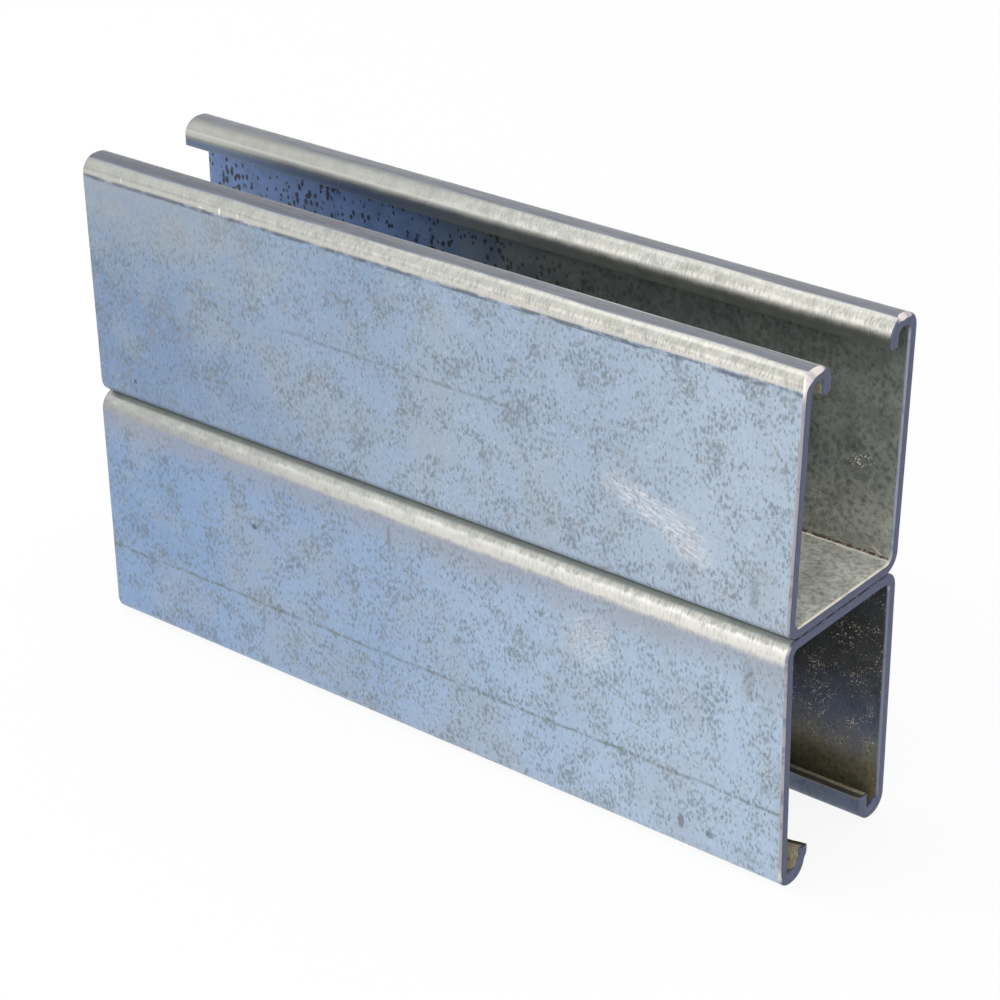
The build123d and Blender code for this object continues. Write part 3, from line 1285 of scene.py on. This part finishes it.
@dataclass(frozen=True)
class CornerRust(Finish):
    """Broken brown line of rust along an inside corner, with a thin pale line of dried zinc salts."""

    girth: float
    rust_colour: Colour = painted(92, 72, 52)
    salt_colour: Colour = painted(232, 222, 202)

    def over(self, strip: StripMap, coat: Coat) -> Coat:
        """Lays this finish over the coat.

        Args:
            strip: the material's nodes.
            coat: what is there so far.

        Returns:
            The coat with this finish on it.
        """
        waver = strip.swing(strip.noise(strip.spot(shift=7.0), 0.5, 2.0), 0.8)
        place = strip.plus(strip.girth, waver)
        broken = strip.ramp(strip.noise(strip.spot(1.2, 4.0, 28.0), 0.9, 4.0, 0.75), 0.42, 0.56, 0.25, 1.0)
        halo = strip.product(strip.band(place, self.girth - 0.9, self.girth + 1.0, 1.2), broken, strip.inside, 0.35)
        colour = strip.blend(halo, coat.colour, self.rust_colour)
        rust = strip.product(strip.band(place, self.girth - 0.2, self.girth + 0.8, 0.35), broken, strip.inside)
        colour = strip.blend(rust, colour, self.rust_colour)
        salt = strip.product(strip.band(place, self.girth - 0.85, self.girth - 0.35, 0.25), strip.inside)
        patchy = strip.ramp(strip.noise(strip.spot(3.0, 9.0, 66.0), 0.5, 3.0, 0.7), 0.36, 0.54, 0.3, 1.0)
        colour = strip.blend(strip.product(salt, patchy, 0.9), colour, self.salt_colour)
        rough = strip.plus(coat.roughness, strip.product(rust, 0.3))
        return Coat(colour, rough, coat.relief, coat.metal)


@dataclass(frozen=True)
class WeldHeat(Finish):
    """Straw and grey tint that the spot welds left round their marks."""

    ring_colour: Colour = painted(122, 112, 96)

    def over(self, strip: StripMap, coat: Coat) -> Coat:
        """Lays this finish over the coat.

        Args:
            strip: the material's nodes.
            coat: what is there so far.

        Returns:
            The coat with this finish on it.
        """
        patchy = strip.ramp(strip.noise(strip.spot(shift=38.0), 0.8, 2.0), 0.3, 0.6, 0.4, 1.0)
        tint = strip.product(strip.heat, patchy, 0.7)
        return Coat(strip.blend(tint, coat.colour, self.ring_colour), coat.roughness, coat.relief, coat.metal)


@dataclass(frozen=True)
class ShearedEnd(Finish):
    """Bare steel of a cut end, painted blue-violet grey as a dark reflection, with bright edges where the blade rolled
    it over, partly a painted highlight.
    """

    # Soft bounds across the strip, in millimetres from its middle.
    WEB_BACK = (19.0, 18.0)
    WALL_START = (19.0, 23.0)
    WALL_END = (78.0, 74.0)
    CREAM = (19.5, 17.0)
    CROWN = (72.0, 75.5)
    POCKET = (73.0, 76.0)
    LIP = (80.6, 82.0)
    SEAM_CREVICE_SHADE = (17.6, 16.6)
    OUTER_SKIN = (-1.0, -1.22)  # through the strip, in millimetres from its middle
    BEVEL = (0.99, 0.86)  # round the rolled edge, from its face to its skin

    # Painted dark reflection on the bare steel of the cut face.
    face_colour: Colour = painted(92, 98, 122)
    dark_colour: Colour = painted(72, 78, 104)
    # Bevel tones: partly real burnished rollover, partly painted highlight, brightest on the crowns and dull on the
    # upright back wall.
    highlight_colour: Colour = painted(172, 167, 174)
    crown_colour: Colour = painted(236, 226, 224)
    cream_colour: Colour = painted(226, 220, 206)
    dull_colour: Colour = painted(146, 152, 168)
    lip_colour: Colour = painted(98, 103, 124)
    gap_shade_colour: Colour = painted(22, 24, 30)

    def over(self, strip: StripMap, coat: Coat) -> Coat:
        """Lays this finish over the coat.

        Args:
            strip: the material's nodes.
            coat: what is there so far.

        Returns:
            The coat with this finish on it.
        """
        cloud = strip.noise(strip.spot(shift=4.0), 0.5, 4.0, 0.6)
        colour = strip.blend(strip.ramp(cloud, 0.36, 0.64), self.dark_colour, self.face_colour)
        patchy = strip.ramp(strip.noise(strip.spot(1.0, 2.2, 33.0), 0.55, 3.0, 0.65), 0.3, 0.5, 0.45, 1.0)
        on_bevel = strip.ramp(strip.cut, *self.BEVEL)
        outer = strip.ramp(strip.layer, *self.OUTER_SKIN)
        web_back = strip.product(outer, strip.ramp(strip.across, *self.WEB_BACK))
        # Rolled-over bevels: partly real burnished edge, partly painted highlight.
        bright = strip.product(strip.entry, on_bevel, patchy, strip.minus(1.0, web_back))
        upright = strip.product(strip.back, strip.ramp(strip.across, *self.WALL_START))
        upright = strip.product(upright, strip.ramp(strip.across, *self.WALL_END))
        tone = strip.blend(strip.ramp(strip.across, *self.CREAM), self.highlight_colour, self.cream_colour)
        on_crown = strip.product(strip.ramp(strip.across, *self.CROWN), strip.outside)
        tone = strip.blend(on_crown, tone, self.crown_colour)
        tone = strip.blend(strip.product(upright, 0.9), tone, self.dull_colour)
        pocket = strip.product(strip.inside, strip.ramp(strip.across, *self.POCKET))
        tone = strip.blend(strip.larger(strip.ramp(strip.across, *self.LIP), pocket), tone, self.lip_colour)
        colour = strip.blend(bright, colour, tone)
        # Painted shade in the gap between the two webs, broken along its length.
        at_seam = strip.product(outer, strip.ramp(strip.across, *self.SEAM_CREVICE_SHADE))
        broken = strip.ramp(strip.noise(strip.spot(1.0, 1.4, 77.0), 0.7, 3.0, 0.7), 0.42, 0.5)
        colour = strip.blend(strip.product(at_seam, broken, 0.95), colour, self.gap_shade_colour)
        rough = strip.ramp(cloud, 0.3, 0.7, 0.38, 0.52, smooth=False)
        lines = strip.vector(strip.product(strip.girth, 2.6), strip.product(strip.layer, 0.5), strip.depth)
        lines = strip.noise(lines, 1.0, 3.0, 0.6)
        return Coat(colour, rough, strip.product(lines, 0.03), coat.metal)


@dataclass(frozen=True)
class Metal:
    """A finished metal: layers of finish from the bottom up, on one shader."""

    name: str
    layers: tuple[Finish, ...]
    seed: float
    colour: Colour = painted(150, 160, 175)
    roughness: float = 0.4
    metallic: float = 0.85

    def make(self) -> bpy.types.Material:
        """Builds the material.

        Returns:
            The material.
        """
        material = bpy.data.materials.new(self.name)
        material.use_nodes = True
        material.node_tree.nodes.clear()
        strip = StripMap(material.node_tree, self.seed)
        coat = Coat(self.colour, self.roughness, 0.0, self.metallic)
        for layer in self.layers:
            coat = layer.over(strip, coat)
        shader = strip.add("ShaderNodeBsdfPrincipled")
        strip.feed(shader.inputs["Metallic"], coat.metal)
        strip.feed(shader.inputs["Base Color"], coat.colour)
        strip.feed(shader.inputs["Roughness"], coat.roughness)
        bump = strip.add("ShaderNodeBump")
        bump.inputs["Distance"].default_value = MM
        strip.feed(bump.inputs["Height"], coat.relief)
        strip.feed(shader.inputs["Normal"], bump.outputs[0])
        result = strip.add("ShaderNodeOutputMaterial")
        strip.feed(result.inputs["Surface"], shader.outputs[0])
        return material


@dataclass(frozen=True)
class CutSlant:
    """How far a cut end is set back at the web and at the crown, and how much that differs at the back wall.

    The back wall's part is taken off at the near end and added at the far one.
    """

    web: float
    crown: float
    back: float


@dataclass
class LippedChannel:
    """One channel of the pair, rolled from its own strip and dressed in its own zinc."""

    name: str
    node: str
    opening: Opening
    section: Section
    welds: SpotWelds
    skin: Metal
    cut_end: Metal
    joint_height: float
    seed: float
    near_slant: CutSlant
    far_slant: CutSlant
    lip_kink: float = 0.0
    setback_reach: float = 60 * MM
    blade_rollover: float = 0.52 * MM
    crown_rollover: float = 1.25 * MM
    edge_break: float = 0.3 * MM
    rollover_unevenness: float = 0.3
    end_flare: float = 0.15 * MM
    flare_reach: float = 34 * MM
    kink_reach: float = 5 * MM
    waviness: float = 0.25 * MM

    def tree_inputs(self) -> dict[str, object]:
        """Gives the roll forming tree its sizes.

        Returns:
            Each input's name and value.
        """
        section = self.section
        return {
            "Half Length": section.length / 2,
            "Strip Thickness": section.thickness,
            "Bend Radius": section.bend_radius,
            "Web Bend": section.web_flat,
            "Crown Bend": section.crown_start,
            "Lip Bend": section.lip_start,
            "Half Girth": section.half_girth,
            "Channel Depth": section.depth,
            "Joint Height": self.joint_height,
            "Turn": self.opening.value,
            "Blade Rollover": self.blade_rollover,
            "Crown Rollover": self.crown_rollover,
            "Edge Break": self.edge_break,
            "Rollover Unevenness": self.rollover_unevenness,
            "End Flare": self.end_flare,
            "Flare Reach": self.flare_reach,
            "Near Setback At Web": self.near_slant.web,
            "Near Setback At Crown": self.near_slant.crown,
            "Near Advance At Back": self.near_slant.back,
            "Far Setback At Web": self.far_slant.web,
            "Far Setback At Crown": self.far_slant.crown,
            "Far Setback At Back": self.far_slant.back,
            "Setback Reach": self.setback_reach,
            "Lip Kink": self.lip_kink,
            "Kink Reach": self.kink_reach,
            "Sheet Waviness": self.waviness,
            "Weld First": self.welds.places(section.length)[0],
            "Weld Spacing": self.welds.spacing,
            "Weld Rim": self.welds.rim_diameter,
            "Weld Floor": self.welds.floor_diameter,
            "Weld Depth": self.welds.depth,
            "Seed": self.seed,
            "Skin": self.skin.make(),
            "Cut End": self.cut_end.make(),
        }

    def build(self, forming: bpy.types.NodeTree) -> bpy.types.Object:
        """Rolls, cuts and dresses the channel.

        Args:
            forming: the roll forming tree.

        Returns:
            The finished piece.
        """
        blank = StripBlank(self.section, self.welds).mesh(f"{self.name}_blank")
        piece = bpy.data.objects.new(self.name, blank)
        bpy.context.scene.collection.objects.link(piece)
        shaped(piece, forming, self.tree_inputs())
        piece.data.shade_smooth()
        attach(piece, "root")
        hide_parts(self.node)
        LOG.info("%s: %d faces", piece.name, len(piece.data.polygons))
        return piece


@dataclass
class BackToBackStrut:
    """The cut piece of stock: two lipped channels, web to web."""

    welds: SpotWelds = field(default_factory=SpotWelds)
    seam_marks: tuple[Mark, ...] = (
        Mark(MarkKind.DOT, -89.3, -23.5, 1.6, 1.6),
        Mark(MarkKind.DOT, -97.4, -22.5, 1.2, 1.6, 0.0, 0.35),
    )

    def section(self, lip_height: float) -> Section:
        """Reads the section's outer sizes off the CAD frame. The lips' height varies a little with the slitting."""
        low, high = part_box("upper_channel")
        return Section(width=high.y - low.y, depth=high.z - low.z, length=high.x - low.x, lip_height=lip_height)

    def upper(self) -> LippedChannel:
        """Describes the channel whose slot opens upwards.

        Returns:
            The channel, not built yet.
        """
        layers = (
            ZincWall(),
            BendStreaksAndPaintedLight(crown_share=1.0, web_share=0.0),
            DrawLine(girth=-50.4, start=-39.0, end=30.0, share=0.75),
            Mark(MarkKind.SCRATCHES, 66.0, -37.4, 36.0, 10.0, 15.0, 0.72),
            Mark(MarkKind.SCRATCHES, 75.5, -31.0, 16.0, 7.0, 13.0, 0.65),
            Mark(MarkKind.STAIN, 92.5, -26.5, 3.2, 10.0, 0.0, 0.3),
            Mark(MarkKind.STAIN, 70.6, -25.6, 2.6, 3.4, 0.0, 0.35),
            Mark(MarkKind.NICK, -88.7, -75.2, 1.4, 0.5, 80.0, 0.4),
            Mark(MarkKind.NICK, -56.7, -75.1, 1.7, 0.7, 85.0, 0.85),
            Mark(MarkKind.NICK, -62.6, -74.8, 1.8, 0.4, 5.0, 0.6),
            Mark(MarkKind.NICK, -51.0, -75.2, 1.3, 0.5, 70.0, 0.6),
            *self.seam_marks,
            InsideTarnishAndPaintedLight(
                blue_colour=painted(112, 142, 190),
                shade_colour=painted(104, 114, 114),
                olive_colour=painted(142, 147, 140),
                floor_colour=painted(236, 236, 227),
                low_wall_colour=painted(184, 185, 174),
                lip_colour=painted(120, 126, 122),
                pocket_colour=painted(186, 180, 164),
                glint_share=0.5,
            ),
            # Painted glints on the inner wall near the cut.
            Mark(MarkKind.GLINTS, 92.4, 41.4, 9.0, 5.0, 20.0, 0.9),
            Mark(MarkKind.GLINTS, 81.1, 29.8, 5.0, 4.0, 0.0, 0.6),
            CornerRust(girth=18.8),
            Mark(MarkKind.SALTS, 98.0, 20.6, 5.0, 0.5, -38.0, 0.9),
            WeldHeat(),
        )
        return LippedChannel(
            name="upper_strut_channel",
            node="upper_channel",
            opening=Opening.UPWARDS,
            section=self.section(6.6 * MM),
            welds=self.welds,
            skin=Metal("upper_zinc", layers, seed=11.0),
            cut_end=Metal("upper_cut_end", (ShearedEnd(),), seed=3.0),
            joint_height=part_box("upper_channel")[0].z,
            seed=1.7,
            near_slant=CutSlant(2.65 * MM, 0.0, 0.65 * MM),
            far_slant=CutSlant(0.3 * MM, 0.95 * MM, 3.0 * MM),
        )

    def lower(self) -> LippedChannel:
        """Describes the channel whose slot opens downwards.

        Returns:
            The channel, not built yet.
        """
        layers = (
            ZincWall(
                # Painted reflection of the lower walls, at the far end and at the near end.
                far_reflection_colour=painted(132, 161, 200),
                near_reflection_colour=painted(176, 196, 218),
                haze_share=0.0,
                web_haze_share=0.6,
            ),
            BendStreaksAndPaintedLight(
                crown_share=0.0,
                web_share=1.0,
                highlight_colour=painted(222, 219, 211),
                streak_colour=painted(140, 141, 135),
                far_dim=painted(128, 132, 133),
                face_far_colour=painted(70, 80, 104),
                face_near_colour=painted(72, 80, 98),
                raw_colour=painted(132, 124, 104),
                face_start=81.5,
                raw_start=86.8,
                comb_low=0.42,
                comb_high=0.61,
            ),
            DrawLine(girth=-58.7, start=-110.0, end=110.0, share=0.85),
            Mark(MarkKind.SCRATCHES, 48.0, -34.0, 20.0, 18.0, 35.0, 0.35),
            Mark(MarkKind.STAIN, 92.0, -28.5, 4.0, 11.0, 0.0, 0.3),
            Mark(MarkKind.STAIN, -9.4, -27.5, 1.6, 9.5, 0.0, 0.35),
            Mark(MarkKind.STAIN, 74.2, -70.5, 2.4, 5.5, 0.0, 0.6),
            Mark(MarkKind.STAIN, 82.5, -71.4, 3.0, 2.2, 0.0, 0.6),
            Mark(MarkKind.DOT, -52.3, -37.8, 2.1, 2.1, 0.0, 0.85),
            InsideTarnishAndPaintedLight(
                blue_colour=painted(90, 104, 130),
                shade_colour=painted(88, 99, 128),
                olive_colour=painted(88, 99, 128),
                floor_colour=painted(96, 98, 94),
                low_wall_colour=painted(62, 64, 62),
                lip_colour=painted(128, 122, 96),
                pocket_colour=painted(206, 196, 166),
                glint_share=1.0,
                glint_size=0.38,
                glint_start=-20.0,
                low_start=62.0,
                low_end=42.0,
            ),
            WeldHeat(),
        )
        return LippedChannel(
            name="lower_strut_channel",
            node="lower_channel",
            opening=Opening.DOWNWARDS,
            section=self.section(7.1 * MM),
            welds=self.welds,
            skin=Metal("lower_zinc", layers, seed=47.0),
            cut_end=Metal("lower_cut_end", (ShearedEnd(dull_colour=painted(116, 122, 138)),), seed=29.0),
            joint_height=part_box("lower_channel")[1].z,
            seed=8.3,
            near_slant=CutSlant(2.65 * MM, 2.65 * MM, 0.65 * MM),
            far_slant=CutSlant(-0.25 * MM, -1.2 * MM, 1.5 * MM),
            lip_kink=0.9 * MM,
        )

    def build(self) -> list[bpy.types.Object]:
        """Builds both channels and gives the finished pieces."""
        forming = RollFormingTree(BendTree.make()).tree
        return [channel.build(forming) for channel in (self.upper(), self.lower())]


@dataclass(frozen=True)
class Lamp:
    """One square soft lamp."""

    name: str
    place: tuple[float, float, float]
    side: float
    watts: float

    def hang(self, aim: tuple[float, float, float]) -> None:
        """Hangs the lamp, turned to where it aims.

        Args:
            aim: the point that it lights.
        """
        light = bpy.data.lights.new(self.name, "AREA")
        light.size = self.side
        light.energy = self.watts
        lamp = bpy.data.objects.new(self.name, light)
        turn = (Vector(aim) - Vector(self.place)).to_track_quat("-Z", "Y").to_matrix().to_4x4()
        lamp.matrix_world = Matrix.Translation(self.place) @ turn
        bpy.context.scene.collection.objects.link(lamp)


@dataclass(frozen=True)
class Studio:
    """Plain white studio: pale floor, soft lamps and the camera of the photograph."""

    floor_half: float = 6.0
    floor_grey: float = 0.9
    floor_glow: float = 0.9
    ambient: float = 0.9
    lamps: tuple[Lamp, ...] = (
        Lamp("key_lamp", (-0.58, -0.48, 0.82), side=1.0, watts=4.4),
        Lamp("front_lamp", (0.3, -0.95, 0.35), side=0.8, watts=2.0),
    )
    aim: tuple[float, float, float] = (0.0, 0.0, 0.062)
    lens: float = 101.647
    sensor_width: float = 36.0
    clip_start: float = 0.01
    camera_place: tuple[float, float, float] = (0.368701, -0.440640, 0.362724)
    camera_right: tuple[float, float, float] = (0.77998112, 0.62541323, -0.02208481)
    camera_up: tuple[float, float, float] = (-0.27987505, 0.38017457, 0.88155388)
    camera_forward: tuple[float, float, float] = (-0.55973155, 0.6814144, -0.47156654)

    @staticmethod
    def seen_directly(wiring: Wiring) -> Socket:
        """Tells the rays that see the background from those that light the object.

        Args:
            wiring: the tree.

        Returns:
            1 for camera, glossy and transmission rays.
        """
        path = wiring.add("ShaderNodeLightPath").outputs
        seen = wiring.larger(path["Is Camera Ray"], path["Is Glossy Ray"])
        return wiring.larger(seen, path["Is Transmission Ray"])

    def build_world(self) -> None:
        """Makes the white background and the soft ambient light."""
        world = bpy.data.worlds.new("studio")
        bpy.context.scene.world = world
        world.use_nodes = True
        world.node_tree.nodes.clear()
        wiring = Wiring(world.node_tree)
        background = wiring.add("ShaderNodeBackground")
        background.inputs["Color"].default_value = (1.0, 1.0, 1.0, 1.0)
        strength = wiring.ramp(self.seen_directly(wiring), 0.0, 1.0, self.ambient, 1.0)
        wiring.feed(background.inputs["Strength"], strength)
        result = wiring.add("ShaderNodeOutputWorld")
        wiring.feed(result.inputs["Surface"], background.outputs[0])

    def build_floor(self) -> None:
        """Makes the floor, which shows near white but keeps the object's shadow."""
        half = self.floor_half
        mesh = bpy.data.meshes.new("studio_floor")
        mesh.from_pydata([(-half, -half, 0), (half, -half, 0), (half, half, 0), (-half, half, 0)], [], [(0, 1, 2, 3)])
        floor = bpy.data.objects.new("studio_floor", mesh)
        bpy.context.scene.collection.objects.link(floor)
        material = bpy.data.materials.new("studio_floor")
        material.use_nodes = True
        material.node_tree.nodes.clear()
        wiring = Wiring(material.node_tree)
        matt = wiring.add("ShaderNodeBsdfDiffuse")
        matt.inputs["Color"].default_value = (*[self.floor_grey] * 3, 1.0)
        glow = wiring.add("ShaderNodeEmission")
        mixed = wiring.add("ShaderNodeMixShader")
        wiring.feed(mixed.inputs[0], wiring.product(self.seen_directly(wiring), self.floor_glow))
        wiring.feed(mixed.inputs[1], matt.outputs[0])
        wiring.feed(mixed.inputs[2], glow.outputs[0])
        result = wiring.add("ShaderNodeOutputMaterial")
        wiring.feed(result.inputs["Surface"], mixed.outputs[0])
        mesh.materials.append(material)

    def build_camera(self) -> None:
        """Sets the camera where the photograph was taken from."""
        settings = bpy.data.cameras.new("photo_camera")
        settings.lens = self.lens
        settings.sensor_width = self.sensor_width
        settings.clip_start = self.clip_start
        camera = bpy.data.objects.new("photo_camera", settings)
        back = [-part for part in self.camera_forward]
        turn = Matrix((self.camera_right, self.camera_up, back)).transposed().to_4x4()
        camera.matrix_world = Matrix.Translation(self.camera_place) @ turn
        bpy.context.scene.collection.objects.link(camera)
        bpy.context.scene.camera = camera

    def build(self) -> None:
        """Builds the whole studio."""
        self.build_world()
        self.build_floor()
        for lamp in self.lamps:
            lamp.hang(self.aim)
        self.build_camera()
        bpy.context.scene.view_settings.view_transform = "Standard"


def main() -> None:
    """Builds the studio and the strut, and reports each piece."""
    logging.basicConfig(level=logging.INFO, format="%(name)s: %(message)s")
    Studio().build()
    pieces = BackToBackStrut().build()
    LOG.info("%d pieces built", len(pieces))


if __name__ == "__main__":
    main()
